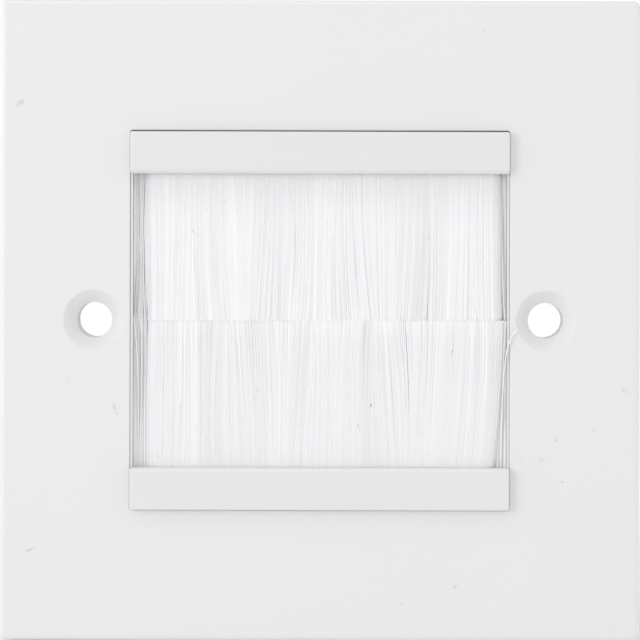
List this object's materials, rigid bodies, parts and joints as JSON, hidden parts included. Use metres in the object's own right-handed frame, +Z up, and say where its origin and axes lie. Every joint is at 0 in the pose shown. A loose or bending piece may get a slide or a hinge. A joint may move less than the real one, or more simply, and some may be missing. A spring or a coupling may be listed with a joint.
{
  "type": "brush wall plate",
  "caption": "Square moulded wall plate with a snap-in brush insert: facing bristle strips let cables pass through the wall, and countersunk holes fix it to a single wall box.",
  "frame": {"origin": "midway between the two screw holes, on the plane of the plate's rear rim, which is the wall", "axes": "+Y points into the wall, the face looks along -Y; +X to the right seen from the front; +Z up"},
  "size_m": [0.086, 0.0112, 0.086],
  "materials": {
    "white_plate_moulding": "gloss",
    "white_insert_moulding": "satin gloss",
    "zinc_plated_steel": "satin",
    "steel_wire": "drawn",
    "white_nylon_bristle": "fine filament"
  },
  "bodies": {
    "root": {"front_plate": "white_plate_moulding", "brush_module_frame": "white_insert_moulding", "upper_channel": "zinc_plated_steel", "upper_core_wire": "steel_wire", "upper_bristles": "white_nylon_bristle", "lower_channel": "zinc_plated_steel", "lower_core_wire": "steel_wire", "lower_bristles": "white_nylon_bristle"}
  },
  "joints": []
}
